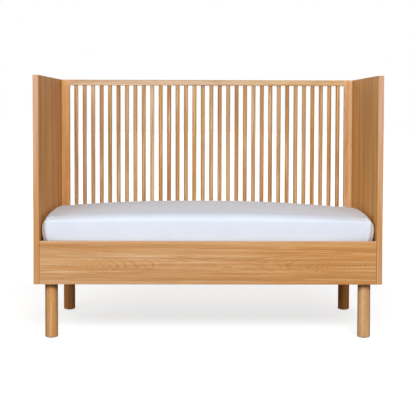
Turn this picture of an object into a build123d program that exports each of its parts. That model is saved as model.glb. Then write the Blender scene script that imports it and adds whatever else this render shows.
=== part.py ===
from build123d import *
import os

# Baby crib in its toddler-bed form. Solid end panels stand on round legs, a low rail joins them at
# the front and a spindle frame at the back. A slatted base hangs between the panels on four bolts,
# at one of three heights, and carries a mattress in a fitted sheet.
# Millimetres. +X is right, +Y is back, +Z is up. The origin is on the floor, under the middle.

# ---- overall sizes ----
inside_length = 1204.0  # between the end panels, for a 1200 mattress
inside_width = 604.0  # between the front rail and the back frame, for a 600 mattress
floor_gap = 200.0  # floor to the lower edges of the panels and rails
panel_height = 745.0
panel_thickness = 20.0
edge_round = 1.2  # eased edges of the boards

# ---- front rail and back frame ----
rail_height = 154.0
rail_thickness = 20.0
frame_thickness = 26.0
stile_width = 32.0
top_rail_height = 23.5
bottom_rail_height = 80.0
spindle_count = 32
spindle_diameter = 17.0
socket_depth = 12.0  # of the spindles' sockets in the two rails

# ---- legs and the boards they screw to ----
leg_diameter = 46.0
leg_round = 2.5  # at the foot
front_leg_setback = 50.0  # leg axis behind the front plane
back_leg_setback = 84.0  # leg axis in front of the back plane
leg_board_width = 74.0
leg_board_thickness = 22.0
leg_board_lift = 4.0  # above the panels' lower edges
glide_diameter = 24.0
glide_height = 3.0

# ---- slatted base ----
base_rise = 42.0  # base rails above the leg boards, lowest row
row_pitch = 150.0
row_count = 3
base_clearance = 2.0  # base to the boards around it
base_rail_width = 25.0
base_rail_height = 45.0
slat_count = 12
slat_width = 60.0
slat_thickness = 12.0
slat_inset = 3.0  # slat ends inside the base rails' outer faces
slat_round = 2.0

# ---- mattress and sheet ----
mattress_clearance = 3.0  # mattress side to the boards around it
mattress_height = 126.0
mattress_corner = 32.0  # plan radius of the corners
mattress_top_round = 26.0
mattress_bottom_round = 16.0
sheet_thickness = 1.0
sheet_hem = 85.0  # turned under the mattress
sheet_ease = 0.2  # sheet to mattress

# ---- fasteners ----
bolt_diameter = 6.0
bolt_hole_diameter = 6.6
bolt_head_diameter = 12.6
bolt_head_height = 3.3
bolt_reach = 7.0  # past the cross dowel's axis
hex_size = 4.0  # across the flats of a bolt's socket
hex_depth = 2.2
nut_diameter = 10.0
nut_length = 12.0
nut_setback = 20.0  # cross dowel axis from the end of its board
rail_bolt_spacing = 92.0
stile_bolt_inset = 40.0  # outer bolts from the panels' lower and upper edges
side_fixing_diameter = 7.0  # empty holes of the slatted front side
side_fixing_rise = 272.0  # lower one above the panels' lower edges
side_fixing_drop = 120.0  # upper one below the panels' upper edges
insert_diameter = 9.0
insert_length = 13.0
base_bolt_inset = 60.0  # base bolt axis from the base's front and back faces
base_bolt_drop = 40.0  # base bolt axis below the top of the slats
leg_bolt_diameter = 8.0
leg_bolt_in_leg = 25.0
leg_bolt_in_board = 16.0
leg_insert_diameter = 12.0
leg_insert_length = 18.0
dowel_diameter = 8.0
dowel_length = 30.0
dowel_in_side = 12.0  # the shorter end, in the panel or the stile
leg_board_dowels = 5
bottom_rail_dowel_spacing = 40.0
screw_diameter = 4.0
screw_cover = 3.0  # wood left past the tip of a plate's screw
screw_head_diameter = 8.0
screw_slot = 0.8
plate_thickness = 3.0
plate_height = 40.0
plate_arm = 60.0  # along the base rail
plate_reach = 76.0  # along the end panel
plate_slot_depth = 14.0  # from the plate's lower edge to the base bolt's axis
plate_screw_spacing = 25.0

# ---- clearances ----
joint_gap = 0.1  # radial, spindles and dowels in their holes
thread_gap = 0.05  # radial, bolts, nuts and inserts
running_gap = 0.3  # between bodies that move apart

# ---- places worked out from the sizes ----
depth = rail_thickness + inside_width + frame_thickness
front_y = -depth / 2
back_y = depth / 2
half_inside = inside_length / 2
half_outside = half_inside + panel_thickness
top_z = floor_gap + panel_height
rail_middle_y = front_y + rail_thickness / 2
frame_middle_y = back_y - frame_thickness / 2
bed_front_y = front_y + rail_thickness
bed_back_y = back_y - frame_thickness
bed_middle_y = (bed_front_y + bed_back_y) / 2
half_opening = half_inside - stile_width
spindle_gap = (2 * half_opening - spindle_count * spindle_diameter) / (spindle_count + 1)
spindle_pitch = spindle_gap + spindle_diameter
leg_board_z = floor_gap + leg_board_lift
leg_x = half_inside - leg_board_width / 2
leg_ys = (front_y + front_leg_setback, back_y - back_leg_setback)
base_front_y = bed_front_y + base_clearance
base_back_y = bed_back_y - base_clearance
base_half_length = half_inside - base_clearance - base_clearance
slat_z = leg_board_z + leg_board_thickness + base_rise + base_rail_height
base_top = slat_z + slat_thickness
base_bolt_z = base_top - base_bolt_drop
base_bolt_ys = (base_front_y + base_bolt_inset, base_back_y - base_bolt_inset)
slat_pitch = (2 * base_half_length - slat_width) / (slat_count - 1)
stile_bolt_heights = (stile_bolt_inset, panel_height / 2, panel_height - stile_bolt_inset)
side_fixing_heights = (side_fixing_rise, panel_height - side_fixing_drop)
screw_length = plate_thickness + base_rail_width - screw_cover
sides = (-1, 1)  # left and right

os.makedirs("parts", exist_ok=True)


def save(piece, name):
    piece.part.label = name
    export_step(piece.part, f"parts/{name}.step")


def drill_planes(x, yz_places, direction):
    """Planes at x whose normal is direction along X, one for each (y, z) place."""
    return [Plane(origin=(x, y, z), z_dir=(direction, 0, 0)) for y, z in yz_places]


# (y, z) places of what goes through or into the ends
rail_bolts = [
    (rail_middle_y, floor_gap + rail_height / 2 + step * rail_bolt_spacing / 2) for step in (-1, 1)
]
stile_bolts = [(frame_middle_y, floor_gap + height) for height in stile_bolt_heights]
side_fixings = [(rail_middle_y, floor_gap + height) for height in side_fixing_heights]
base_rows = [
    (y, base_bolt_z + row * row_pitch) for y in base_bolt_ys for row in range(row_count)
]
leg_board_length = inside_width - 2 * base_clearance
leg_board_dowel_places = [
    (
        bed_middle_y + (number - (leg_board_dowels - 1) / 2) * leg_board_length / leg_board_dowels,
        leg_board_z + leg_board_thickness / 2,
    )
    for number in range(leg_board_dowels)
]
front_rail_dowels = [(rail_middle_y, floor_gap + rail_height / 2)]
frame_dowel_places = [(frame_middle_y, top_z - top_rail_height / 2)] + [
    (frame_middle_y, floor_gap + bottom_rail_height / 2 + step * bottom_rail_dowel_spacing / 2)
    for step in (-1, 1)
]
dowel_in_end = dowel_length - dowel_in_side
hole_spare = 1.0  # blind holes are this much deeper than what goes in
screw_head_height = (screw_head_diameter - screw_diameter) / 2


# ---- end panels ----
def end_panel(side):
    outer_x = side * half_outside
    inner_x = side * half_inside
    with BuildPart() as panel:
        with BuildSketch(Plane.YZ.offset(min(outer_x, inner_x))):
            with Locations((0, floor_gap + panel_height / 2)):
                Rectangle(depth, panel_height)
        extrude(amount=panel_thickness)
        fillet(panel.edges(), edge_round)
        with Locations(*drill_planes(outer_x, rail_bolts + stile_bolts, side)):
            CounterSinkHole(bolt_hole_diameter / 2, bolt_head_diameter / 2 + thread_gap, panel_thickness, 90)
        with Locations(*drill_planes(outer_x, side_fixings, side)):
            Hole(side_fixing_diameter / 2, panel_thickness)
        with Locations(*drill_planes(inner_x, base_rows, -side)):
            Hole(insert_diameter / 2, insert_length + hole_spare)
        with Locations(*drill_planes(inner_x, leg_board_dowel_places + front_rail_dowels, -side)):
            Hole(dowel_diameter / 2, dowel_in_side)
    return panel


for side, word in zip(sides, ("left", "right")):
    save(end_panel(side), f"end_panel_{word}")


# ---- front rail, between the panels ----
with BuildPart() as front_rail:
    with BuildSketch(Plane.YZ.offset(-half_inside)):
        with Locations((rail_middle_y, floor_gap + rail_height / 2)):
            Rectangle(rail_thickness, rail_height)
    extrude(amount=inside_length)
    fillet(front_rail.edges().filter_by(Axis.X), edge_round)
    for side in sides:
        with Locations(*drill_planes(side * half_inside, rail_bolts, side)):
            Hole(bolt_hole_diameter / 2, nut_setback + bolt_reach + hole_spare)
        with Locations(*drill_planes(side * half_inside, front_rail_dowels, side)):
            Hole(dowel_diameter / 2, dowel_in_end + hole_spare)
        nut_places = [(side * (half_inside - nut_setback), bed_front_y, z) for _, z in rail_bolts]
        with Locations(*[Plane(origin=place, z_dir=(0, 1, 0)) for place in nut_places]):
            Hole(nut_diameter / 2, rail_thickness / 2 + nut_length / 2)
save(front_rail, "front_rail")


# ---- back frame ----
def back_stile(side):
    with BuildPart() as stile:
        with BuildSketch(Plane.XY.offset(floor_gap)):
            with Locations((side * (half_inside - stile_width / 2), frame_middle_y)):
                Rectangle(stile_width, frame_thickness)
        extrude(amount=panel_height)
        fillet(stile.edges().filter_by(Axis.Z), edge_round / 2)
        with Locations(*drill_planes(side * half_inside, stile_bolts, side)):
            Hole(bolt_hole_diameter / 2, nut_setback + bolt_reach)
        with Locations(*drill_planes(side * half_opening, frame_dowel_places, -side)):
            Hole(dowel_diameter / 2, dowel_in_side)
        nut_places = [(side * (half_inside - nut_setback), back_y, z) for _, z in stile_bolts]
        with Locations(*[Plane(origin=place, z_dir=(0, 1, 0)) for place in nut_places]):
            Hole(nut_diameter / 2, frame_thickness / 2 + nut_length / 2)
    return stile


for side, word in zip(sides, ("left", "right")):
    save(back_stile(side), f"back_stile_{word}")

socket_places = [
    ((number - (spindle_count - 1) / 2) * spindle_pitch, frame_middle_y)
    for number in range(spindle_count)
]


def frame_rail(low_z, height, socket_z, socket_direction, dowel_places):
    """A rail of the back frame, with a socket for each spindle in its face at socket_z."""
    with BuildPart() as rail:
        with BuildSketch(Plane.YZ.offset(-half_opening)):
            with Locations((frame_middle_y, low_z + height / 2)):
                Rectangle(frame_thickness, height)
        extrude(amount=2 * half_opening)
        fillet(rail.edges().filter_by(Axis.X), edge_round)
        faces = [Plane(origin=(x, y, socket_z), z_dir=(0, 0, socket_direction)) for x, y in socket_places]
        with Locations(*faces):
            Hole(spindle_diameter / 2 + joint_gap, socket_depth)
        for side in sides:
            with Locations(*drill_planes(side * half_opening, dowel_places, side)):
                Hole(dowel_diameter / 2, dowel_in_end + hole_spare)
    return rail


opening_low_z = floor_gap + bottom_rail_height
opening_top_z = top_z - top_rail_height
save(
    frame_rail(opening_top_z, top_rail_height, opening_top_z, -1, frame_dowel_places[:1]),
    "back_top_rail",
)
save(
    frame_rail(floor_gap, bottom_rail_height, opening_low_z, 1, frame_dowel_places[1:]),
    "back_bottom_rail",
)

spindle_low_z = opening_low_z - socket_depth + hole_spare / 2
spindle_length = opening_top_z - opening_low_z + 2 * socket_depth - hole_spare
for number, (x, y) in enumerate(socket_places, start=1):
    with BuildPart() as spindle:
        with BuildSketch(Plane(origin=(x, y, spindle_low_z))):
            Circle(spindle_diameter / 2)
        extrude(amount=spindle_length)
        chamfer(spindle.edges().filter_by(GeomType.CIRCLE), 1.0)
    save(spindle, f"spindle_{number:02d}")


# ---- legs, their boards, bolts, inserts and glides ----
leg_places = [(side * leg_x, y) for side in sides for y in leg_ys]
leg_names = ("leg_front_left", "leg_back_left", "leg_front_right", "leg_back_right")
leg_length = leg_board_z - glide_height

for (x, y), name in zip(leg_places, leg_names):
    with BuildPart() as leg:
        with BuildSketch(Plane(origin=(x, y, glide_height))):
            Circle(leg_diameter / 2)
        extrude(amount=leg_length)
        fillet(leg.edges().filter_by(GeomType.CIRCLE).sort_by(Axis.Z)[0], leg_round)
        chamfer(leg.edges().filter_by(GeomType.CIRCLE).sort_by(Axis.Z)[-1], 1.0)
        with Locations(Plane(origin=(x, y, leg_board_z))):
            Hole(leg_bolt_diameter / 2, leg_bolt_in_leg + hole_spare)
    save(leg, name)

for side, word in zip(sides, ("left", "right")):
    with BuildPart() as leg_board:
        with BuildSketch(Plane.XY.offset(leg_board_z)):
            with Locations((side * leg_x, bed_middle_y)):
                Rectangle(leg_board_width, leg_board_length)
        extrude(amount=leg_board_thickness)
        fillet(leg_board.edges().filter_by(Axis.Y), edge_round)
        with Locations(*[Plane(origin=(side * leg_x, y, leg_board_z), z_dir=(0, 0, -1)) for y in leg_ys]):
            Hole(leg_insert_diameter / 2, leg_insert_length)
        with Locations(*drill_planes(side * half_inside, leg_board_dowel_places, side)):
            Hole(dowel_diameter / 2, dowel_in_end + hole_spare)
    save(leg_board, f"leg_board_{word}")

with BuildPart() as leg_bolts:
    with BuildSketch(Plane.XY.offset(leg_board_z - leg_bolt_in_leg)):
        with Locations(*leg_places):
            Circle(leg_bolt_diameter / 2 - thread_gap)
    extrude(amount=leg_bolt_in_leg + leg_bolt_in_board)
    chamfer(leg_bolts.edges().filter_by(GeomType.CIRCLE), 1.2)
save(leg_bolts, "leg_bolts")

with BuildPart() as leg_inserts:
    with BuildSketch(Plane.XY.offset(leg_board_z)):
        with Locations(*leg_places):
            Circle(leg_insert_diameter / 2 - thread_gap)
            Circle(leg_bolt_diameter / 2, mode=Mode.SUBTRACT)
    extrude(amount=leg_insert_length)
save(leg_inserts, "leg_inserts")

with BuildPart() as leg_glides:
    with BuildSketch(Plane.XY):
        with Locations(*leg_places):
            Circle(glide_diameter / 2)
    extrude(amount=glide_height)
    fillet(leg_glides.edges().filter_by(GeomType.CIRCLE).group_by(Axis.Z)[0], 0.8)
save(leg_glides, "leg_glides")


# ---- fasteners of the panels and the back frame ----
with BuildPart() as frame_bolts:
    for side in sides:
        with Locations(*drill_planes(side * half_outside, rail_bolts + stile_bolts, side)):
            with Locations((0, 0, -bolt_head_height)):
                Cone(
                    bolt_diameter / 2,
                    bolt_head_diameter / 2,
                    bolt_head_height,
                    align=(Align.CENTER, Align.CENTER, Align.MIN),
                )
            Cylinder(
                bolt_diameter / 2 - thread_gap,
                panel_thickness + nut_setback + bolt_reach,
                align=(Align.CENTER, Align.CENTER, Align.MAX),
            )
    for side in sides:
        for plane in drill_planes(side * half_outside, rail_bolts + stile_bolts, side):
            with BuildSketch(plane):
                RegularPolygon(hex_size / 2, 6, major_radius=False)
            extrude(amount=-hex_depth, mode=Mode.SUBTRACT)
save(frame_bolts, "frame_bolts")

nut_planes = [
    Plane(origin=(side * (half_inside - nut_setback), y, z), x_dir=(1, 0, 0), z_dir=(0, 1, 0))
    for side in sides
    for y, z in rail_bolts + stile_bolts
]
with BuildPart() as barrel_nuts:
    with Locations(*nut_planes):
        Cylinder(nut_diameter / 2 - thread_gap, nut_length)
        Cylinder(bolt_diameter / 2, nut_diameter, rotation=(0, 90, 0), mode=Mode.SUBTRACT)
save(barrel_nuts, "barrel_nuts")

with BuildPart() as frame_dowels:
    for side in sides:
        in_panel = drill_planes(side * half_inside, leg_board_dowel_places + front_rail_dowels, -side)
        in_stile = drill_planes(side * half_opening, frame_dowel_places, -side)
        with Locations(*in_panel, *in_stile):
            with Locations((0, 0, dowel_length / 2 - dowel_in_side)):
                Cylinder(dowel_diameter / 2 - joint_gap, dowel_length)
    chamfer(frame_dowels.edges().filter_by(GeomType.CIRCLE), 1.0)
save(frame_dowels, "frame_dowels")

with BuildPart() as base_inserts:
    for side in sides:
        with Locations(*drill_planes(side * half_inside, base_rows, -side)):
            with Locations((0, 0, -insert_length / 2)):
                Cylinder(insert_diameter / 2 - thread_gap, insert_length)
                Cylinder(bolt_diameter / 2, insert_length, mode=Mode.SUBTRACT)
save(base_inserts, "base_inserts")

head_seat = 2 * running_gap + plate_thickness  # underside of a base bolt's head from the panel
lowest_row = [(y, base_bolt_z) for y in base_bolt_ys]
base_bolt_planes = [
    plane for side in sides for plane in drill_planes(side * half_inside, lowest_row, -side)
]
with BuildPart() as base_bolts:
    with Locations(*base_bolt_planes):
        with Locations((0, 0, head_seat)):
            Cylinder(
                bolt_head_diameter / 2,
                bolt_head_height,
                align=(Align.CENTER, Align.CENTER, Align.MIN),
            )
        with Locations((0, 0, head_seat)):
            Cylinder(
                bolt_diameter / 2 - thread_gap,
                head_seat + insert_length - hole_spare,
                align=(Align.CENTER, Align.CENTER, Align.MAX),
            )
    for plane in base_bolt_planes:
        with BuildSketch(plane.offset(head_seat + bolt_head_height)):
            RegularPolygon(hex_size / 2, 6, major_radius=False)
        extrude(amount=-hex_depth, mode=Mode.SUBTRACT)
save(base_bolts, "base_bolts")


# ---- slatted base ----
slat_xs = [(number - (slat_count - 1) / 2) * slat_pitch for number in range(slat_count)]
base_rails = (
    ("base_rail_front", base_front_y + base_rail_width / 2, 1),
    ("base_rail_back", base_back_y - base_rail_width / 2, -1),
)
plate_screw_xs = [
    side * (half_inside - plate_arm / 2 + step * plate_screw_spacing / 2)
    for side in sides
    for step in (-1, 1)
]
plate_middle_z = base_bolt_z + plate_height / 2 - plate_slot_depth
slat_screws = [
    Plane(origin=(x, rail_y, base_top)) for x in slat_xs for _, rail_y, _ in base_rails
]
plate_screws = [
    Plane(
        origin=(x, rail_y + inward * (base_rail_width / 2 + plate_thickness), plate_middle_z),
        z_dir=(0, inward, 0),
    )
    for x in plate_screw_xs
    for _, rail_y, inward in base_rails
]

for name, rail_y, inward in base_rails:
    with BuildPart() as base_rail:
        with BuildSketch(Plane.YZ.offset(-base_half_length)):
            with Locations((rail_y, slat_z - base_rail_height / 2)):
                Rectangle(base_rail_width, base_rail_height)
        extrude(amount=2 * base_half_length)
        fillet(base_rail.edges().filter_by(Axis.X), edge_round)
        with Locations(*[Plane(origin=(x, rail_y, slat_z)) for x in slat_xs]):
            Hole(screw_diameter / 2 + thread_gap, screw_length - slat_thickness + hole_spare)
        inner_face = rail_y + inward * base_rail_width / 2
        pilots = [
            Plane(origin=(x, inner_face, plate_middle_z), z_dir=(0, inward, 0)) for x in plate_screw_xs
        ]
        with Locations(*pilots):
            Hole(screw_diameter / 2 + thread_gap, screw_length - plate_thickness + hole_spare)
    save(base_rail, name)

with BuildPart() as base_slats:
    with BuildSketch(Plane.XY.offset(slat_z)):
        with Locations(*[(x, (base_front_y + base_back_y) / 2) for x in slat_xs]):
            Rectangle(slat_width, base_back_y - base_front_y - 2 * slat_inset)
    extrude(amount=slat_thickness)
    fillet(base_slats.edges().filter_by(Axis.Y), slat_round)
    with Locations(*slat_screws):
        CounterSinkHole(
            screw_diameter / 2 + joint_gap, screw_head_diameter / 2 + joint_gap, slat_thickness, 90
        )
save(base_slats, "base_slats")

# An angle of steel at each corner. Its slot is open downwards and drops over the base bolt.
plate_x = half_inside - running_gap
slot_radius = bolt_diameter / 2 + running_gap
with BuildPart() as hook_plates:
    for side in sides:
        for _, rail_y, inward in base_rails:
            face_y = rail_y + inward * base_rail_width / 2
            with BuildSketch(Plane.XY.offset(plate_middle_z - plate_height / 2)):
                with BuildLine():
                    Polyline(
                        (side * plate_x, face_y),
                        (side * plate_x, face_y + inward * plate_reach),
                        (side * (plate_x - plate_thickness), face_y + inward * plate_reach),
                        (side * (plate_x - plate_thickness), face_y + inward * plate_thickness),
                        (side * (plate_x - plate_arm), face_y + inward * plate_thickness),
                        (side * (plate_x - plate_arm), face_y),
                        close=True,
                    )
                make_face()
            extrude(amount=plate_height)
    with Locations(*plate_screws):
        CounterSinkHole(
            screw_diameter / 2 + joint_gap, screw_head_diameter / 2 + joint_gap, plate_thickness, 90
        )
    with BuildSketch(Plane.YZ.offset(-half_inside)):
        with Locations(*lowest_row):
            Circle(slot_radius)
            with Locations((0, -plate_slot_depth / 2)):
                Rectangle(2 * slot_radius, plate_slot_depth)
    extrude(amount=inside_length, mode=Mode.SUBTRACT)
save(hook_plates, "base_hook_plates")

with BuildPart() as base_screws:
    with Locations(*slat_screws, *plate_screws):
        Cylinder(
            screw_diameter / 2,
            screw_length - screw_head_height,
            align=(Align.CENTER, Align.CENTER, Align.MAX),
        )
        with Locations((0, 0, -screw_head_height)):
            Cone(
                screw_diameter / 2,
                screw_head_diameter / 2,
                screw_head_height,
                align=(Align.CENTER, Align.CENTER, Align.MIN),
            )
        with Locations((0, 0, screw_head_height - screw_length)):
            Cone(
                screw_slot / 2,
                screw_diameter / 2,
                screw_head_height,
                align=(Align.CENTER, Align.CENTER, Align.MAX),
            )
        Box(
            screw_slot,
            screw_diameter,
            screw_head_height,
            align=(Align.CENTER, Align.CENTER, Align.CENTER),
            mode=Mode.SUBTRACT,
        )
        Box(
            screw_diameter,
            screw_slot,
            screw_head_height,
            align=(Align.CENTER, Align.CENTER, Align.CENTER),
            mode=Mode.SUBTRACT,
        )
save(base_screws, "base_screws")


# ---- mattress and fitted sheet ----
def cushion_form(low_z, grow):
    """The mattress's block, grown by grow on every side, with its lowest face at low_z."""
    with BuildPart() as block:
        with BuildSketch(Plane.XY.offset(low_z)):
            with Locations((0, bed_middle_y)):
                RectangleRounded(
                    inside_length - 2 * mattress_clearance - 2 * sheet_ease - 2 * sheet_thickness + 2 * grow,
                    inside_width - 2 * mattress_clearance - 2 * sheet_ease - 2 * sheet_thickness + 2 * grow,
                    mattress_corner + grow,
                )
        extrude(amount=mattress_height + 2 * grow)
        top_edges = block.faces().sort_by(Axis.Z)[-1].edges()
        bottom_edges = block.faces().sort_by(Axis.Z)[0].edges()
        fillet(top_edges, mattress_top_round + grow)
        fillet(bottom_edges, mattress_bottom_round + grow)
    return block


sheet_low_z = base_top + running_gap
core_low_z = sheet_low_z + sheet_thickness + sheet_ease
mattress_core = cushion_form(core_low_z, 0)
save(mattress_core, "mattress_core")

with BuildPart() as fitted_sheet:
    add(cushion_form(sheet_low_z, sheet_ease + sheet_thickness).part)
    add(cushion_form(core_low_z - sheet_ease, sheet_ease).part, mode=Mode.SUBTRACT)
    with BuildSketch(Plane.XY.offset(sheet_low_z)):
        with Locations((0, bed_middle_y)):
            RectangleRounded(
                inside_length - 2 * mattress_clearance - 2 * sheet_hem,
                inside_width - 2 * mattress_clearance - 2 * sheet_hem,
                mattress_corner,
            )
    extrude(amount=sheet_thickness + sheet_ease / 2, mode=Mode.SUBTRACT)
save(fitted_sheet, "fitted_sheet")
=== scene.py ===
import math

import bpy
import numpy as np
from mathutils import Euler, Matrix, Vector


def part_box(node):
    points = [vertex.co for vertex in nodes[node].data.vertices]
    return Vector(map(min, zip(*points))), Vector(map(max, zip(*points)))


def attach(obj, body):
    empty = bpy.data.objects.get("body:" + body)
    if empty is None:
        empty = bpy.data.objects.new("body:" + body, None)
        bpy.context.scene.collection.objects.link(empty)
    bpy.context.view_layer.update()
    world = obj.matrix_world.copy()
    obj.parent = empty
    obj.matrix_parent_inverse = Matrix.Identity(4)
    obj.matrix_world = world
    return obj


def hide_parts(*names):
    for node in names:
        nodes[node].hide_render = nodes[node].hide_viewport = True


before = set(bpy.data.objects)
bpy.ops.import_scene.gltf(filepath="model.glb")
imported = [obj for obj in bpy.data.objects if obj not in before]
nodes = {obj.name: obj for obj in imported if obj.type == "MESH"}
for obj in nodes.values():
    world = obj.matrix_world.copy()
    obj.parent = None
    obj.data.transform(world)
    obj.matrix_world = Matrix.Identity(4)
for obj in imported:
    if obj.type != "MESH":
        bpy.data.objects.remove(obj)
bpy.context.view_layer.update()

# camera, floor and lights

studio = {
    "cameraPlace": (-0.0354, -3.9585, 0.8301),
    "cameraYaw": -0.533,  # degrees, positive to the left
    "cameraTilt": -2.579,  # degrees, negative looks down
    "cameraRoll": -0.153,
    "lens": 88.74,
    "shiftY": -0.13,
    "aim": (0.0, 0.0, 0.45),  # what the lamps look at
    "skyLight": 0.21,  # light from all round
    "floorSize": 60.0,
    "floorTone": 0.22,  # as the other pieces are lit by it
    "floorShown": 0.62,  # as the camera sees it
    "floorGlow": 0.66,  # added where the camera looks, so that the floor comes out white
    "shadowReach": 1.1,  # from the middle, past which the floor turns plain white
}

# name: azimuth and elevation in degrees (azimuth 0 in front, 90 on the right), distance, width, height, watts
lamps = {
    "front": (4, 29, 5.2, 2.0, 1.4, 142),
    "keyRight": (30, 30, 4.8, 2.0, 1.6, 34),
    "fillLeft": (-34, 23, 4.8, 3.0, 2.2, 68),
    "backRight": (150, 12, 5.0, 3.0, 1.6, 38),
    "backLeft": (-150, 12, 5.0, 3.0, 1.6, 48),
}


def makeCamera():
    camera = bpy.data.objects.new("camera", bpy.data.cameras.new("camera"))
    camera.data.lens = studio["lens"]
    camera.data.shift_y = studio["shiftY"]
    turn = Matrix.Rotation(math.radians(studio["cameraYaw"]), 4, "Z")
    tilt = Matrix.Rotation(math.radians(90 + studio["cameraTilt"]), 4, "X")
    roll = Matrix.Rotation(math.radians(-studio["cameraRoll"]), 4, "Z")
    camera.matrix_world = Matrix.Translation(studio["cameraPlace"]) @ turn @ tilt @ roll
    bpy.context.scene.collection.objects.link(camera)
    bpy.context.scene.camera = camera


def makeLamp(name, azimuth, elevation, distance, width, height, watts):
    # place = aim + distance * (sin az cos el, -cos az cos el, sin el)
    az, el = math.radians(azimuth), math.radians(elevation)
    away = Vector((math.sin(az) * math.cos(el), -math.cos(az) * math.cos(el), math.sin(el)))
    lamp = bpy.data.objects.new(name, bpy.data.lights.new(name, "AREA"))
    lamp.data.shape = "RECTANGLE"
    lamp.data.size = width
    lamp.data.size_y = height
    lamp.data.energy = watts
    lamp.location = Vector(studio["aim"]) + away * distance
    lamp.rotation_euler = away.to_track_quat("Z", "Y").to_euler()
    lamp.visible_camera = False
    bpy.context.scene.collection.objects.link(lamp)


def makeWorld():
    world = bpy.data.worlds.new("studio")
    world.use_nodes = True
    tree = world.node_tree
    tree.nodes.clear()
    soft = addNode(tree, "Background", {"Color": (1, 1, 1, 1), "Strength": studio["skyLight"]})
    shown = addNode(tree, "Background", {"Color": (1, 1, 1, 1), "Strength": 1.0})
    path = addNode(tree, "LightPath")
    inputs = {0: path.outputs["Is Camera Ray"], 1: soft.outputs[0], 2: shown.outputs[0]}
    mix = addNode(tree, "MixShader", inputs)
    addNode(tree, "OutputWorld", {"Surface": mix.outputs[0]})
    bpy.context.scene.world = world


def makeFloor():
    half = studio["floorSize"] / 2
    mesh = bpy.data.meshes.new("floor")
    corners = [(-half, -half, 0), (half, -half, 0), (half, half, 0), (-half, half, 0)]
    mesh.from_pydata(corners, [], [(0, 1, 2, 3)])
    floor = bpy.data.objects.new("floor", mesh)
    bpy.context.scene.collection.objects.link(floor)
    material = bpy.data.materials.new("floorPaper")
    material.use_nodes = True
    tree = material.node_tree
    tree.nodes.clear()
    path = addNode(tree, "LightPath")
    seen = path.outputs["Is Camera Ray"]
    tone = remap(tree, seen, 0, 1, studio["floorTone"], studio["floorShown"])
    paper = addNode(tree, "BsdfDiffuse", {"Color": tone})
    away = addNode(tree, "VectorMath", {0: objectPlace(tree)}, operation="LENGTH").outputs["Value"]
    reach = studio["shadowReach"]
    glow = remap(tree, away, reach, 3 * reach, studio["floorGlow"], 1.0)
    glow = calculate(tree, "MULTIPLY", seen, glow)
    light = addNode(tree, "Emission", {"Strength": glow})
    both = addNode(tree, "AddShader", {0: paper.outputs[0], 1: light.outputs[0]})
    # clear from below, so that the underside can be looked at
    below = addNode(tree, "NewGeometry").outputs["Backfacing"]
    below = calculate(tree, "MULTIPLY", seen, below)
    clear = addNode(tree, "BsdfTransparent")
    shown = addNode(tree, "MixShader", {0: below, 1: both.outputs[0], 2: clear.outputs[0]})
    addNode(tree, "OutputMaterial", {"Surface": shown.outputs[0]})
    mesh.materials.append(material)


# small helpers for node trees


def feed(tree, socket, value):
    # links another node's output, or sets a plain value
    if isinstance(value, bpy.types.NodeSocket):
        tree.links.new(value, socket)
    else:
        socket.default_value = value


def addNode(tree, kind, inputs=None, **settings):
    made = tree.nodes.new("ShaderNode" + kind)
    for name, value in settings.items():
        setattr(made, name, value)
    for name, value in (inputs or {}).items():
        feed(tree, made.inputs[name], value)
    return made


def calculate(tree, operation, *values, clamp=False):
    made = addNode(tree, "Math", dict(enumerate(values)), operation=operation, use_clamp=clamp)
    return made.outputs[0]


def scaleVector(tree, vector, amounts):
    return addNode(tree, "VectorMath", {0: vector, 1: amounts}, operation="MULTIPLY").outputs[0]


def shiftVector(tree, vector, amounts):
    return addNode(tree, "VectorMath", {0: vector, 1: amounts}, operation="ADD").outputs[0]


def noise(tree, vector, detail=2.0, roughness=0.5):
    inputs = {"Vector": vector, "Scale": 1.0, "Detail": detail, "Roughness": roughness}
    return addNode(tree, "TexNoise", inputs).outputs["Fac"]


def remap(tree, value, low, high, lowOut=0.0, highOut=1.0, smooth=False):
    inputs = {"Value": value, "From Min": low, "From Max": high, "To Min": lowOut, "To Max": highOut}
    kind = "SMOOTHSTEP" if smooth else "LINEAR"
    return addNode(tree, "MapRange", inputs, interpolation_type=kind).outputs["Result"]


def mixColour(tree, factor, first, second, blend="MIX"):
    made = addNode(tree, "Mix", data_type="RGBA", blend_type=blend)
    for index, value in ((0, factor), (6, first), (7, second)):
        feed(tree, made.inputs[index], value)
    return made.outputs[2]


def newGroup(name, inputs, outputs):
    # inputs: {label: (socket kind, default)}, outputs: {label: socket kind}
    group = bpy.data.node_groups.new(name, "ShaderNodeTree")
    for label, (kind, value) in inputs.items():
        socket = group.interface.new_socket(name=label, in_out="INPUT", socket_type="NodeSocket" + kind)
        if value is not None:
            socket.default_value = value
    for label, kind in outputs.items():
        group.interface.new_socket(name=label, in_out="OUTPUT", socket_type="NodeSocket" + kind)
    given = group.nodes.new("NodeGroupInput").outputs
    out = group.nodes.new("NodeGroupOutput").inputs
    return group, given, out


def useGroup(tree, name, inputs):
    made = tree.nodes.new("ShaderNodeGroup")
    made.node_tree = bpy.data.node_groups[name]
    for label, value in inputs.items():
        feed(tree, made.inputs[label], value)
    return made.outputs


def newMaterial(name, **constants):
    # a Principled material; constants are set on the shader's own sockets, by name with _ for a space
    material = bpy.data.materials.new(name)
    material.use_nodes = True
    tree = material.node_tree
    shader = tree.nodes["Principled BSDF"]
    for label, value in constants.items():
        shader.inputs[label.replace("_", " ")].default_value = value
    return material, tree, shader.inputs


def objectPlace(tree):
    return addNode(tree, "TexCoord").outputs["Object"]


def bump(tree, height, distance, strength=1.0):
    return addNode(tree, "Bump", {"Height": height, "Distance": distance, "Strength": strength}).outputs[0]


# shared effects

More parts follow.
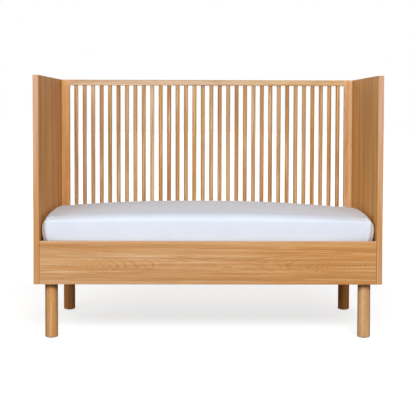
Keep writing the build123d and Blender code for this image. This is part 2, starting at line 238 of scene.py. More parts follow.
oakTones = {
    "pale": (0.70, 0.45, 0.23, 1),
    "warm": (0.62, 0.34, 0.135, 1),
    "dark": (0.43, 0.205, 0.07, 1),
    "line": (0.80, 0.57, 0.34, 1),  # the fine pale lines
    "pore": (0.16, 0.075, 0.03, 1),
    "rubbed": (0.74, 0.50, 0.28, 1),  # eased edges
    "roughness": (0.52, 0.74),  # plain wood, open pores
    "ripple": 0.0035,  # metres the rings waver by
    "easing": 0.0018,  # radius of the eased edges
}


def makeOakGrain():
    # Vector has the grain along X, the face across Y and the depth along Z, in metres from the
    # piece's middle. d = Z + Depth + Tilt X - Bow X^2 + drift, the way to the pith; r = sqrt(Y^2 + d^2);
    # the ring tone falls from 1 to 0 over the first part of frac(r / Ring Width), by its own share in
    # each ring; clouds, streaks and lines are noise drawn out along the grain, each finer than the last
    group, given, out = newGroup(
        "oakGrain",
        {
            "Vector": ("Vector", None),
            "Pale": ("Color", (0.66, 0.42, 0.20, 1)),
            "Warm": ("Color", (0.58, 0.31, 0.12, 1)),
            "Dark": ("Color", (0.36, 0.17, 0.06, 1)),
            "Ring Width": ("Float", 0.006),
            "Depth": ("Float", 0.2),
            "Tilt": ("Float", 0.0),
            "Bow": ("Float", 0.0),
            "Figure": ("Float", 0.5),
            "Wander": ("Float", 0.03),
            "Clouds": ("Float", 0.0),
            "Streaks": ("Float", 0.5),
            "Lines": ("Float", 0.5),
            "Pores": ("Float", 0.5),
            "Seed": ("Float", 0.0),
        },
        {"Color": "Color", "Roughness": "Float", "Height": "Float"},
    )
    start = addNode(group, "CombineXYZ", {0: given["Seed"], 1: given["Seed"], 2: given["Seed"]}).outputs[0]
    place = shiftVector(group, given["Vector"], start)
    axes = addNode(group, "SeparateXYZ", {0: given["Vector"]}).outputs
    drift = remap(group, noise(group, scaleVector(group, place, (2.6, 4, 4)), 2.0), 0, 1, -1, 1)
    drift = calculate(group, "MULTIPLY", drift, given["Wander"])
    ripple = noise(group, scaleVector(group, place, (16, 60, 60)), 2.0)
    ripple = remap(group, ripple, 0, 1, -oakTones["ripple"], oakTones["ripple"])
    bow = calculate(group, "MULTIPLY", calculate(group, "MULTIPLY", axes[0], axes[0]), given["Bow"])
    depth = calculate(group, "MULTIPLY_ADD", axes[0], given["Tilt"], given["Depth"])
    depth = calculate(group, "SUBTRACT", calculate(group, "ADD", depth, axes[2]), bow)
    depth = calculate(group, "ADD", calculate(group, "ADD", depth, drift), ripple)
    squares = calculate(group, "MULTIPLY_ADD", axes[1], axes[1], calculate(group, "MULTIPLY", depth, depth))
    rings = calculate(group, "DIVIDE", calculate(group, "SQRT", squares), given["Ring Width"])
    number = calculate(group, "FLOOR", rings)
    ringShare = addNode(group, "TexWhiteNoise", {"W": number}, noise_dimensions="1D").outputs[0]
    early = remap(group, calculate(group, "FRACT", rings), 0.0, 0.55, 1.0, 0.0)
    early = calculate(group, "POWER", early, 1.4)
    rim = remap(group, calculate(group, "FRACT", rings), 0.88, 1.0)  # softens the step between two rings
    early = calculate(group, "MAXIMUM", early, rim)
    ringTone = calculate(group, "MULTIPLY", early, remap(group, ringShare, 0, 1, 0.3, 1.0))
    streak = noise(group, scaleVector(group, place, (1.5, 52, 52)), 5.0, 0.62)
    line = noise(group, scaleVector(group, place, (3.2, 165, 165)), 4.0, 0.7)
    broad = noise(group, scaleVector(group, place, (0.8, 14, 14)), 2.0)
    dashes = noise(group, scaleVector(group, place, (85, 1500, 1500)), 1.0)
    pores = remap(group, early, 0, 1, 0.25, 1.0)  # more of them in the early part of a ring
    pores = calculate(group, "MULTIPLY", remap(group, dashes, 0.60, 0.72), pores)
    pores = calculate(group, "MULTIPLY", pores, given["Pores"])
    colour = mixColour(group, remap(group, broad, 0.32, 0.68, smooth=True), given["Pale"], given["Warm"])
    streakTone = calculate(group, "MULTIPLY", remap(group, streak, 0.36, 0.72), given["Streaks"])
    figureTone = calculate(group, "MULTIPLY", ringTone, given["Figure"])
    darker = calculate(group, "ADD", streakTone, figureTone, clamp=True)
    colour = mixColour(group, darker, colour, given["Dark"])
    paleTone = calculate(group, "MULTIPLY", remap(group, streak, 0.46, 0.28), given["Streaks"])
    colour = mixColour(group, paleTone, colour, given["Pale"])
    darkLine = calculate(group, "MULTIPLY", remap(group, line, 0.53, 0.70), given["Lines"])
    paleLine = calculate(group, "MULTIPLY", remap(group, line, 0.47, 0.30), given["Lines"])
    cloud = noise(group, scaleVector(group, place, (1.1, 24, 24)), 1.0)
    cloudTone = remap(group, cloud, 0.50, 0.66, smooth=True)
    cloudTone = calculate(group, "MULTIPLY", cloudTone, given["Clouds"])
    colour = mixColour(group, cloudTone, colour, given["Dark"])
    colour = mixColour(group, darkLine, colour, given["Dark"])
    colour = mixColour(group, paleLine, colour, oakTones["line"])
    colour = mixColour(group, calculate(group, "MULTIPLY", pores, 0.7), colour, oakTones["pore"])
    feed(group, out["Color"], colour)
    openGrain = calculate(group, "ADD", streakTone, pores)
    feed(group, out["Roughness"], remap(group, openGrain, 0, 1, *oakTones["roughness"]))
    height = calculate(group, "MULTIPLY_ADD", figureTone, -0.25, calculate(group, "MULTIPLY", pores, -1.0))
    feed(group, out["Height"], height)


def makeEasedEdge():
    # how far the rounded normal leans off the face's own: 1 - n . b, stretched to 0..1
    group, given, out = newGroup("easedEdge", {"Radius": ("Float", 0.002)}, {"Mask": "Float"})
    rounded = group.nodes.new("ShaderNodeBevel")
    rounded.samples = 4
    feed(group, rounded.inputs["Radius"], given["Radius"])
    inputs = {0: rounded.outputs[0], 1: addNode(group, "NewGeometry").outputs["Normal"]}
    same = addNode(group, "VectorMath", inputs, operation="DOT_PRODUCT").outputs["Value"]
    feed(group, out["Mask"], remap(group, same, 0.99, 0.75))


def makeClothWeave():
    # plain weave: over = sin(pi u / t) sin(pi v / t) for thread pitch t, with slubs that thicken single
    # threads; its shade output is painted shade, darker where the weave lies low
    group, given, out = newGroup(
        "clothWeave",
        {"Vector": ("Vector", None), "Thread": ("Float", 0.0004), "Slubs": ("Float", 0.5)},
        {"Height": "Float", "PaintedShade": "Float"},
    )
    perThread = calculate(group, "DIVIDE", math.pi, given["Thread"])
    axes = addNode(group, "SeparateXYZ", {0: given["Vector"]}).outputs
    warp = calculate(group, "SINE", calculate(group, "MULTIPLY", axes[0], perThread))
    weft = calculate(group, "SINE", calculate(group, "MULTIPLY", axes[1], perThread))
    over = calculate(group, "MULTIPLY", warp, weft)
    slubU = noise(group, scaleVector(group, given["Vector"], (35, 900, 1)), 1.0)
    slubV = noise(group, scaleVector(group, given["Vector"], (900, 35, 1)), 1.0)
    slubs = calculate(group, "MULTIPLY", calculate(group, "ADD", slubU, slubV), given["Slubs"])
    height = calculate(group, "MULTIPLY_ADD", over, 0.35, slubs)
    feed(group, out["Height"], height)
    # painted shade: darker where the weave lies low
    feed(group, out["PaintedShade"], remap(group, height, -0.3, 1.0, 0.93, 1.0))


def makeHandling():
    # faint cloudy marks, for metal and plastic: two sizes of noise
    group, given, out = newGroup(
        "handling",
        {"Vector": ("Vector", None), "Size": ("Float", 60.0)},
        {"Cloud": "Float", "Speck": "Float"},
    )
    coarse = addNode(group, "TexNoise", {"Vector": given["Vector"], "Scale": given["Size"], "Detail": 4.0})
    small = calculate(group, "MULTIPLY", given["Size"], 25.0)
    fine = addNode(group, "TexNoise", {"Vector": given["Vector"], "Scale": small, "Detail": 1.0})
    feed(group, out["Cloud"], coarse.outputs["Fac"])
    feed(group, out["Speck"], remap(group, fine.outputs["Fac"], 0.35, 0.65))


# oak

grainTurn = {  # degrees that lay the grain along X and the broad face's depth along Z
    "upOnSide": (0, 90, 0),  # grain up, face towards the left or right
    "upOnFront": (90, 0, 90),  # grain up, face towards the front or back
    "across": (-90, 0, 0),  # grain from left to right
    "backToFront": (0, 0, 90),  # grain from front to back, face up
}


def oakMaterial(name, turn, centre, look, tint=(1, 1, 1), worn=0.35):
    # the grain group on Object coordinates, turned and centred on the piece, and paler along eased edges
    material, tree, shader = newMaterial(name, Specular_IOR_Level=0.10)
    angles = Euler([math.radians(a) for a in grainTurn[turn]])
    middle = -(angles.to_matrix() @ Vector(centre))
    inputs = {"Vector": objectPlace(tree), "Location": middle, "Rotation": angles}
    mapping = addNode(tree, "Mapping", inputs)
    values = {"Pale": oakTones["pale"], "Warm": oakTones["warm"], "Dark": oakTones["dark"]}
    values.update(look)
    for tone in ("Pale", "Warm", "Dark"):
        values[tone] = (*[c * t for c, t in zip(values[tone], tint)], 1)
    grain = useGroup(tree, "oakGrain", {"Vector": mapping.outputs[0], **values})
    edge = useGroup(tree, "easedEdge", {"Radius": oakTones["easing"]})["Mask"]
    rubbed = calculate(tree, "MULTIPLY", edge, worn)
    colour = mixColour(tree, rubbed, grain["Color"], oakTones["rubbed"])
    feed(tree, shader["Base Color"], colour)
    rough = calculate(tree, "MULTIPLY_ADD", rubbed, -0.15, grain["Roughness"])
    feed(tree, shader["Roughness"], rough)
    feed(tree, shader["Normal"], bump(tree, grain["Height"], 0.00025, 0.7))
    return material, tree, shader, colour


def middleOf(name):
    low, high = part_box(name)
    return (low + high) / 2


def dress(material, *names):
    # puts a finish on CAD parts
    for name in names:
        mesh = nodes[name].data
        mesh.materials.clear()
        mesh.materials.append(material)


endPanel = {
    "Ring Width": 0.0085,
    "Depth": 0.16,
    "Figure": 0.30,
    "Clouds": 0.55,
    "Streaks": 0.70,
    "Lines": 0.35,
    "Pores": 0.5,
}

panelSeedsAndShadeTints = {  # seed, and a tint with painted shade: deeper and more saturated than the front rail's oak, as the inner faces lie in shade
    "left": (3.1, (1.18, 0.96, 0.66)),
    "right": (8.7, (1.23, 1.05, 0.63)),
}

panelEdge = {  # the lipping, rosier towards the top
    "top": (0.64, 0.375, 0.235, 1),
    "low": (0.61, 0.30, 0.115, 1),
    "vein": (0.46, 0.24, 0.10, 1),
    "pale": (0.74, 0.50, 0.34, 1),
    "stripes": (190, 190, 3),  # how fine across and along
    "contrast": 0.7,
    "turnsFrom": 0.42,  # heights between which one turns into the other
    "turnsTo": 0.86,
}


def finishPanels():
    for side, (seed, tint) in panelSeedsAndShadeTints.items():
        name = "end_panel_" + side
        look = {**endPanel, "Seed": seed}
        # the tint makes the whole panel a shaded copy of the oak: painted shade
        material, tree, shader, colour = oakMaterial(
            "oakPanel_" + side, "upOnSide", middleOf(name), look, tint
        )
        # the lipping shows on every narrow face, where the normal isn't along X
        normal = addNode(tree, "NewGeometry").outputs["True Normal"]
        normal = addNode(tree, "SeparateXYZ", {0: normal}).outputs[0]
        narrow = remap(tree, calculate(tree, "ABSOLUTE", normal), 0.75, 0.35)
        up = addNode(tree, "SeparateXYZ", {0: objectPlace(tree)}).outputs[2]
        place = shiftVector(tree, objectPlace(tree), (seed,) * 3)
        stripes = noise(tree, scaleVector(tree, place, panelEdge["stripes"]), 4.0)
        veins = remap(tree, stripes, 0.52, 0.72, 0, panelEdge["contrast"])
        pales = remap(tree, stripes, 0.48, 0.30, 0, panelEdge["contrast"])
        rise = remap(tree, up, panelEdge["turnsFrom"], panelEdge["turnsTo"], smooth=True)
        lipping = mixColour(tree, rise, panelEdge["low"], panelEdge["top"])
        lipping = mixColour(tree, veins, lipping, panelEdge["vein"])
        lipping = mixColour(tree, pales, lipping, panelEdge["pale"])
        feed(tree, shader["Base Color"], mixColour(tree, narrow, colour, lipping))
        dress(material, name)


frontRail = {
    "Ring Width": 0.0034,
    "Depth": 0.074,
    "Tilt": 0.006,
    "Bow": 0.19,
    "Wander": 0.020,
    "Figure": 0.62,
    "Clouds": 0.18,
    "Streaks": 0.55,
    "Lines": 0.75,
    "Pores": 0.5,
    "Seed": 5.3,
}


railTones = {
    "tint": (1.08, 1.03, 1.04),
    "pithUp": 0.46,  # share of the height where the arches of the grain lie
    "amber": (0.97, 0.87, 0.68, 1),  # multiplied in towards the right
    "amberFrom": -0.1,  # X where it begins and where it is full
    "amberTo": 0.5,
    "rim": (0.72, 0.52, 0.36, 1),  # painted highlight: paler along the top
    "topHighlightShare": 0.4,
    "seamShade": (0.10, 0.05, 0.02, 1),  # painted shade: a dark line in the seam where the rail meets the end panels
    "seamShadeShare": 0.8,
}


def finishFrontRail():
    low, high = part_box("front_rail")
    pith = low.z + railTones["pithUp"] * (high.z - low.z)
    centre = Vector(((low.x + high.x) / 2, low.y, pith))
    material, tree, shader, colour = oakMaterial(
        "oakFrontRail", "across", centre, frontRail, railTones["tint"]
    )
    along = addNode(tree, "SeparateXYZ", {0: objectPlace(tree)}).outputs[0]
    amber = remap(tree, along, railTones["amberFrom"], railTones["amberTo"], smooth=True)
    colour = mixColour(tree, amber, colour, railTones["amber"], "MULTIPLY")
    up = addNode(tree, "SeparateXYZ", {0: objectPlace(tree)}).outputs[2]
    # painted highlight: a paler band along the top of the rail
    rim = remap(tree, up, high.z - 0.007, high.z - 0.001, 0, railTones["topHighlightShare"])
    colour = mixColour(tree, rim, colour, railTones["rim"])
    # painted shade in the seams at both ends of the rail
    side = calculate(tree, "ABSOLUTE", along)
    seamShade = remap(tree, side, high.x - 0.0022, high.x - 0.0006, 0, railTones["seamShadeShare"])
    feed(tree, shader["Base Color"], mixColour(tree, seamShade, colour, railTones["seamShade"]))
    dress(material, "front_rail")


backFrame = {
    "Ring Width": 0.007,
    "Depth": 0.09,
    "Tilt": 0.03,
    "Figure": 0.45,
    "Streaks": 0.7,
    "Lines": 0.8,
    "Pores": 0.4,
}


stileSides = {  # seed and tint
    "left": (1.9, (1.25, 1.18, 1.05)),
    "right": (6.4, (1.31, 1.36, 1.48)),
}

topRail = {
    "tint": (1.06, 1.24, 1.75),  # rosy on the left
    "yellow": (1.06, 1.02, 0.84, 1),  # multiplied in towards the right
    "yellowFrom": -0.1,
    "yellowTo": 0.45,
}


def finishBackFrame():
    for side, (seed, tint) in stileSides.items():
        name = "back_stile_" + side
        look = {**backFrame, "Seed": seed}
        stile = oakMaterial("oakStile_" + side, "upOnFront", middleOf(name), look, tint)[0]
        dress(stile, name)
    look = {**backFrame, "Seed": 2.2, "Lines": 0.9, "Figure": 0.2}
    centre = middleOf("back_top_rail")
    material, tree, shader, colour = oakMaterial(
        "oakTopRail", "across", centre, look, topRail["tint"]
    )
    along = addNode(tree, "SeparateXYZ", {0: objectPlace(tree)}).outputs[0]
    yellow = remap(tree, along, topRail["yellowFrom"], topRail["yellowTo"], smooth=True)
    colour = mixColour(tree, yellow, colour, topRail["yellow"], "MULTIPLY")
    feed(tree, shader["Base Color"], colour)
    dress(material, "back_top_rail")
    look = {**backFrame, "Seed": 4.7, "Bow": 0.1}
    bottom = oakMaterial("oakBottomRail", "across", middleOf("back_bottom_rail"), look)[0]
    dress(bottom, "back_bottom_rail")


spindles = {
    "order": "mymdmdmpmpodomommdpmmmddmdmyomoo",  # shade of each, left to right
    "shades": {
        "p": (1.12, 1.28, 1.55),  # pale
        "y": (1.00, 1.12, 1.30),  # straw
        "m": (0.98, 1.00, 1.02),  # middling
        "o": (0.98, 0.92, 0.75),  # orange
        "d": (0.90, 0.84, 0.78),  # dark
    },
    "Ring Width": 0.004,
    "Depth": 0.05,
    "Tilt": 0.02,
    "Figure": 0.3,
    "Streaks": 0.8,
    "Lines": 1.3,
    "Pores": 0.4,
}


def finishSpindles():
    look = {k: v for k, v in spindles.items() if k not in ("order", "shades")}
    made = {}
    for number, (letter, tint) in enumerate(spindles["shades"].items()):
        look["Seed"] = 1.3 + 2.7 * number
        centre = middleOf("spindle_16")
        made[letter] = oakMaterial("oakSpindle_" + letter, "upOnFront", centre, look, tint, worn=0.15)[0]
    for number, letter in enumerate(spindles["order"], 1):
        dress(made[letter], f"spindle_{number:02d}")


legs = {
    "Ring Width": 0.0045,
    "Depth": 0.045,
    "Tilt": 0.09,
    "Figure": 0.42,
    "Streaks": 0.6,
    "Lines": 0.9,
    "Pores": 0.5,
    "tints": {
        "front_left": (1.10, 0.91, 0.72),
        "front_right": (1.18, 1.17, 1.20),
        # the back legs' tints are deeper and more saturated, painted shade under the crib; the front legs
        # differ in their own tone
        "back_left": (1.14, 0.77, 0.48),
        "back_right": (1.22, 0.74, 0.32),
    },
}


def finishLegs():
    look = {k: v for k, v in legs.items() if k != "tints"}
    # each leg's tint; those of the back legs hold painted shade
    for number, (corner, tint) in enumerate(legs["tints"].items()):
        name = "leg_" + corner
        look["Seed"] = 2.4 + 3.6 * number
        dress(oakMaterial("oakLeg_" + corner, "upOnFront", middleOf(name), look, tint)[0], name)
    board = {"Ring Width": 0.008, "Depth": 0.1, "Figure": 0.3, "Streaks": 0.4, "Pores": 0.4, "Seed": 7.7}
    for side in ("left", "right"):
        name = "leg_board_" + side
        dress(oakMaterial("oakBoard_" + side, "backToFront", middleOf(name), board)[0], name)


beech = {
    "Pale": (0.72, 0.50, 0.30, 1),
    "Warm": (0.66, 0.42, 0.23, 1),
    "Dark": (0.48, 0.27, 0.13, 1),
    "Ring Width": 0.006,
    "Depth": 0.12,
    "Figure": 0.16,
    "Streaks": 0.3,
    "Pores": 0.7,
    "Seed": 9.1,
}


def finishBeech():
    slats = oakMaterial("beechSlats", "backToFront", middleOf("base_slats"), beech, worn=0.1)[0]
    rails = oakMaterial("beechRails", "across", middleOf("base_rail_front"), beech, worn=0.1)[0]
    dowels = oakMaterial("beechDowels", "across", (0, 0, 0.5), beech, (0.95, 0.95, 0.95), worn=0.1)[0]
    dress(slats, "base_slats")
    dress(rails, "base_rail_front", "base_rail_back")
    dress(dowels, "frame_dowels")


# fittings

fittings = {  # finish: colour, roughness, metal, cloud size
    "darkBolt": ((0.035, 0.033, 0.032), 0.42, 1.0, 90.0),
    "zincPlate": ((0.56, 0.57, 0.58), 0.36, 1.0, 45.0),
    "zincSmall": ((0.60, 0.58, 0.52), 0.30, 1.0, 160.0),
    "nylonGlide": ((0.62, 0.60, 0.56), 0.50, 0.0, 120.0),
}


def fittingMaterial(name):
    colour, roughness, metal, size = fittings[name]
    material, tree, shader = newMaterial(name, Metallic=metal)
    marks = useGroup(tree, "handling", {"Vector": objectPlace(tree), "Size": size})
    edge = useGroup(tree, "easedEdge", {"Radius": 0.0006})["Mask"]
    light = (*[min(1.0, c * 1.35 + 0.02) for c in colour], 1)
    dull = (*[c * 0.75 for c in colour], 1)
    shade = mixColour(tree, remap(tree, marks["Cloud"], 0.3, 0.7), dull, light)
    feed(tree, shader["Base Color"], mixColour(tree, calculate(tree, "MULTIPLY", edge, 0.5), shade, light))
    rough = remap(tree, marks["Cloud"], 0.3, 0.7, roughness + 0.10, roughness - 0.06)
    feed(tree, shader["Roughness"], rough)
    feed(tree, shader["Normal"], bump(tree, marks["Speck"], 0.00003, 0.5))
    return material


def finishFittings():
    made = {name: fittingMaterial(name) for name in fittings}
    dress(made["darkBolt"], "frame_bolts", "base_bolts", "base_inserts")
    dress(made["zincPlate"], "base_hook_plates")
    dress(made["zincSmall"], "barrel_nuts", "leg_inserts", "leg_bolts", "base_screws")
    dress(made["nylonGlide"], "leg_glides")


# mattress and fitted sheet: one rounded pad shape, made in loops

sheetShape = {  # metres
    "inset": 0.0008,  # inside the CAD sheet, all round
    "sink": 0.0,
    "planCorner": 0.020,
    "core": 0.086,  # from the outline to where the plain grid of the top begins
    "widest": 0.094,  # height of the fullest part above the underside
    "widestEnds": -0.027,  # less at the two ends
    "topRound": 0.060,
    "topRoundEnds": -0.040,  # less at the two ends
    "topRoundCorners": 0.008,
    "topPower": 2.2,
    "lowRound": 0.019,
    "lowRoundCorners": 0.018,
    "lowPower": 2.3,
    "crownFall": 0.0240,  # from the middle to the ends
    "crownPower": 2.3,
    "crownMiddle": -0.040,  # X of the highest place
    "crownSide": 0.005,  # from the middle to the long sides
    "crownFull": 0.5,  # part of the fall that the middle of an end is spared
    "fullMiddle": -0.08,  # Y of that fullest place
    "under": 0.083,  # cloth turned under
    "cloth": 0.0009,
    "crowding": 0.55,  # how much closer the cuts stand near the corners
    "nearCorner": 0.14,  # share of a side that counts as a corner
    "endBlend": 0.04,
    "rows": (6, 22, 18, 12),  # flat top, upper round, lower round, turned under
    "longCuts": 150,
    "shortCuts": 84,
}

padShape = {
    **sheetShape,
    "inset": 0.0135,
    "sink": 0.0065,  # the underside lies lower than that inset
    "under": None,
    "longCuts": 70,
    "shortCuts": 36,
}


def loopOutline(halfX, halfY, corner, shape):
    # one turn round a rounded rectangle, four sides from 45 degree point to 45 degree point.
    # arc length u = q (a - r + pi r / 4); within |u| < a - r it runs straight, past that round the arc
    def side(a, b, cuts):
        t = np.linspace(-1, 1, cuts + 1)[:-1]
        q = t + shape["crowding"] * np.sin(np.pi * t) / np.pi
        u = q * (a - corner + math.pi * corner / 4)
        bend = np.maximum(np.abs(u) - (a - corner), 0) / max(corner, 1e-6)
        along = np.where(bend > 0, a - corner + corner * np.sin(bend), np.abs(u)) * np.sign(u)
        return np.stack([along, -b + corner * (1 - np.cos(bend))], 1), q

    front, q1 = side(halfX, halfY, shape["longCuts"])
    right, q2 = side(halfY, halfX, shape["shortCuts"])
    quarter = np.array([[0.0, 1.0], [-1.0, 0.0]])  # a left turn: (x, y) to (-y, x)
    outline = np.concatenate([front, right @ quarter, -front, -(right @ quarter)])
    return outline, np.concatenate([q1, q2, q1, q2])


def padSurface(shape, box, closed):
    # plan: P = outline + (core - outline) g, with g = inset / core depth. Height by two quarter
    # superellipses: upper z = wide + (crown - wide) sin^(2/n), inset = round (1 - cos^(2/n)), and the
    # lower one the same, downwards. crown z = top - fall (|x - x0| / a)^p (1 - full (1 - (y - y0)^2 / b^2))
    # less the fall to the long sides
    low, high = box
    low = np.array(low) + shape["inset"]
    low[2] -= shape["sink"]
    high = np.array(high) - shape["inset"]
    middle = (low + high) / 2
    half = (high - low) / 2
    core = shape["core"]
    outline, q = loopOutline(half[0], half[1], shape["planCorner"], shape)
    inner = loopOutline(half[0] - core, half[1] - core, 1e-9, shape)[0]
    end = np.abs(outline[:, 0]) - (half[0] - half[1])  # how much the loop faces an end
    end = np.clip((end - np.abs(outline[:, 1])) / shape["endBlend"] + 0.5, 0, 1)
    cornerNear = np.exp(-(((1 - np.abs(q)) / shape["nearCorner"]) ** 2))
    topRound = shape["topRound"] + shape["topRoundEnds"] * end + shape["topRoundCorners"] * cornerNear
    lowRound = shape["lowRound"] + shape["lowRoundCorners"] * cornerNear

    def crown(x, y):
        full = 1 - shape["crownFull"] * (1 - ((y - shape["fullMiddle"]) / half[1]) ** 2)
        away = np.abs(x - shape["crownMiddle"]) / half[0]
        fall = shape["crownFall"] * full * away ** shape["crownPower"]
        return high[2] - fall - shape["crownSide"] * (y / half[1]) ** 2

    wide = low[2] + shape["widest"] + shape["widestEnds"] * end
    flatCount, upperCount, lowerCount, underCount = shape["rows"]
    flatRows = np.linspace(1, 0, flatCount)[:-1]
    upper = np.radians(np.linspace(90, 0, upperCount))
    lower = np.radians(np.linspace(0, 90, lowerCount))[1:]
    underRows = np.linspace(0, 1, underCount)[1:]
    n, m = shape["topPower"], shape["lowPower"]
    reach = core if closed else shape["under"]
    insets = np.concatenate([
        topRound + (core - topRound) * flatRows[:, None],
        topRound * (1 - np.cos(upper)[:, None].clip(0) ** (2 / n)),
        lowRound * (1 - np.cos(lower)[:, None].clip(0) ** (2 / m)),
        lowRound + (reach - lowRound) * underRows[:, None],
    ])
    g = insets / core
    plan = outline[None] * (1 - g[..., None]) + inner[None] * g[..., None]
    rise = np.concatenate([np.ones(len(flatRows)), np.sin(upper) ** (2 / n)])
    drop = np.concatenate([np.sin(lower) ** (2 / m), np.ones(len(underRows))])
    top = crown(plan[: len(rise), :, 0], plan[: len(rise), :, 1])
    height = np.concatenate([
        wide + (top - wide) * rise[:, None],
        wide - (wide - low[2]) * drop[:, None],
    ])
    rings = np.concatenate([plan, height[..., None]], 2)
    rings[..., :2] += middle[:2]
    marks = {"q": q, "upperEnd": len(flatRows), "lowerStart": len(rise)}
    marks["underStart"] = len(rise) + len(lower)
    return rings, marks, middle, half, crown


def coreGrid(rings, row, shape, middle, heightAt):
    # the rectangular grid inside a square-cornered loop, without its border, row by row, front to back
    long, short = shape["longCuts"], shape["shortCuts"]
    xs = rings[row, 1:long, 0]
    ys = rings[row, long + 1 : long + short, 1]
    x, y = np.meshgrid(xs, ys)
    z = heightAt(x - middle[0], y - middle[1])
    return np.stack([x, y, z], 2).reshape(-1, 3)


def coreIndex(shape, ringStart, gridStart):
    # vertex numbers of the whole grid, border included, as an array of (short + 1) rows
    long, short = shape["longCuts"], shape["shortCuts"]
    index = np.zeros((short + 1, long + 1), int)
    index[0, :long] = ringStart + np.arange(long)
    index[:short, long] = ringStart + long + np.arange(short)
    index[short, ::-1][:long] = ringStart + long + short + np.arange(long)
    index[::-1, 0][:short] = ringStart + 2 * long + short + np.arange(short)
    index[1:-1, 1:-1] = gridStart + np.arange((long - 1) * (short - 1)).reshape(short - 1, long - 1)
    return index


def quads(index):
    # four-sided faces over an array of vertex numbers
    return np.stack([index[:-1, :-1], index[:-1, 1:], index[1:, 1:], index[1:, :-1]], -1).reshape(-1, 4)


def newPiece(name, points, faces):
    mesh = bpy.data.meshes.new(name)
    mesh.from_pydata(points.tolist(), [], faces.tolist())
    mesh.update()
    mesh.polygons.foreach_set("use_smooth", np.ones(len(mesh.polygons), bool))
    piece = bpy.data.objects.new(name, mesh)
    bpy.context.scene.collection.objects.link(piece)
    return piece


def setUv(piece, name, places):
    # one UV place for each vertex, copied to the face corners
    layer = piece.data.uv_layers.new(name=name)
    corners = np.zeros(len(piece.data.loops), np.int64)
    piece.data.loops.foreach_get("vertex_index", corners)
    layer.data.foreach_set("uv", places[corners].astype(np.float32).ravel())


def outward(rings):
    # unit normals of the loops: down the rows x along the loop
    along = np.roll(rings, -1, 1) - np.roll(rings, 1, 1)
    down = np.gradient(rings, axis=0)
    normal = np.cross(down, along)
    return normal / np.linalg.norm(normal, axis=2, keepdims=True).clip(1e-12)


def smoothStep(x, start, stop):
    t = np.clip((x - start) / (stop - start), 0, 1)
    return t * t * (3 - 2 * t)


folds = {  # metres
    "seamDepth": 0.0042,  # groove of the sewn corner
    "seamWidth": 0.006,
    "pucker": 0.0008,  # gathers beside the seam
    "puckerReach": 0.060,
    "puckerPitch": 0.0135,
    "ruffle": 0.0022,  # of the elastic hem, upwards
    "ruffleCuts": 5.2,  # cuts of the outline to one wave of it
    "slack": 0.0011,  # slow waves of the sides
    "slackPitch": (0.31, 0.173),
    "ridge": 0.0009,  # gathers along the shoulder of an end
    "ridgeRows": 5.5,  # rows to one of them
    "spare": 0.0006,  # what the folds may add to the plain shape's box
    "crease": 0.0007,
}


def foldSheet(rings, marks, half):
    # displacement along the normal: seam groove, puckers cos(2 pi s / pitch) that fade away from the
    # corner and up the side, slow waves along the sides, and ridges along the shoulders of the ends.
    # The hem ruffles upwards, and all is held to the box of the plain shape
    q, rows = marks["q"], len(rings)
    upperEnd, lowerStart, underStart = marks["upperEnd"], marks["lowerStart"], marks["underStart"]
    step = np.linalg.norm(np.roll(rings, -1, 1) - rings, axis=2)[lowerStart]
    run = np.concatenate([[0], np.cumsum(step)[:-1]])
    total = step.sum()
    corners = run[np.flatnonzero(np.abs(q) > 0.9999)]
    gap = run[:, None] - corners[None]
    gap = (gap + total / 2) % total - total / 2
    nearest = np.abs(gap).argmin(1)
    away = gap[np.arange(len(run)), nearest]
    level = np.arange(rows)[:, None]
    seamRamp = smoothStep(level, upperEnd - 2, upperEnd + 8)
    seamRamp = seamRamp * (1 - smoothStep(level, underStart - 3, underStart + 2))
    seam = -folds["seamDepth"] * np.exp(-((away / folds["seamWidth"]) ** 2)) * seamRamp
    fade = np.exp(-((away / folds["puckerReach"]) ** 2))
    pitch = folds["puckerPitch"] * (1 + 0.25 * np.sin(7 * nearest + 40 * np.abs(away)))
    sideRamp = 0.25 + 0.75 * smoothStep(level, upperEnd + 3, lowerStart + 4)
    pucker = folds["pucker"] * fade * np.cos(2 * np.pi * np.abs(away) / pitch) * sideRamp
    pucker = pucker * smoothStep(level, upperEnd + 1, upperEnd + 12)
    first, second = folds["slackPitch"]
    slow = np.sin(2 * np.pi * run / first + 1.1) + 0.6 * np.sin(2 * np.pi * run / second + 2.3)
    swell = np.sin(np.pi * np.clip((level - 8) / (rows - 20), 0, 1))
    slow = folds["slack"] * (slow - 1.2) / 1.6 * swell
    fromMiddle = np.abs(rings[lowerStart, :, 0] - rings[..., 0].mean())
    endward = smoothStep(fromMiddle, half[0] - 0.02, half[0])
    ridge = np.sin(2 * np.pi * level / folds["ridgeRows"] + 1.7 * np.sin(run * 9))
    ridge = ridge * smoothStep(level, 3, 8)
    ridgeRamp = 1 - smoothStep(level, lowerStart - 8, lowerStart)
    ridge = folds["ridge"] * endward * (ridge - 1) * ridgeRamp
    push = seam + pucker + slow + ridge
    moved = rings + outward(rings) * push[..., None]
    hem = smoothStep(level, underStart, rows - 1)
    turn = 2 * np.pi * np.arange(len(q)) / folds["ruffleCuts"]
    wave = 0.5 + 0.5 * np.cos(turn + 1.5 * np.sin(run * 23))
    moved[..., 2] += folds["ruffle"] * hem * wave
    spare = np.array([folds["spare"], folds["spare"], 0])
    return np.clip(moved, rings.min((0, 1)) - spare, rings.max((0, 1)) + spare)


def topCreases(x, y):
    # soft folds that run in from the ends: depth = crease (0.7 near sin(slanted line) + wide - 1)
    slant = np.sin(2 * np.pi * (np.abs(x) * 0.35 + y * 1.0 + 0.02 * np.sin(9 * x)) / 0.085)
    near = smoothStep(np.abs(x), 0.30, 0.56)
    wide = np.sin(2 * np.pi * x / 0.43 + 0.7) * np.sin(2 * np.pi * y / 0.37 + 0.4)
    return folds["crease"] * (slant * near * 0.7 + wide - 1.0)


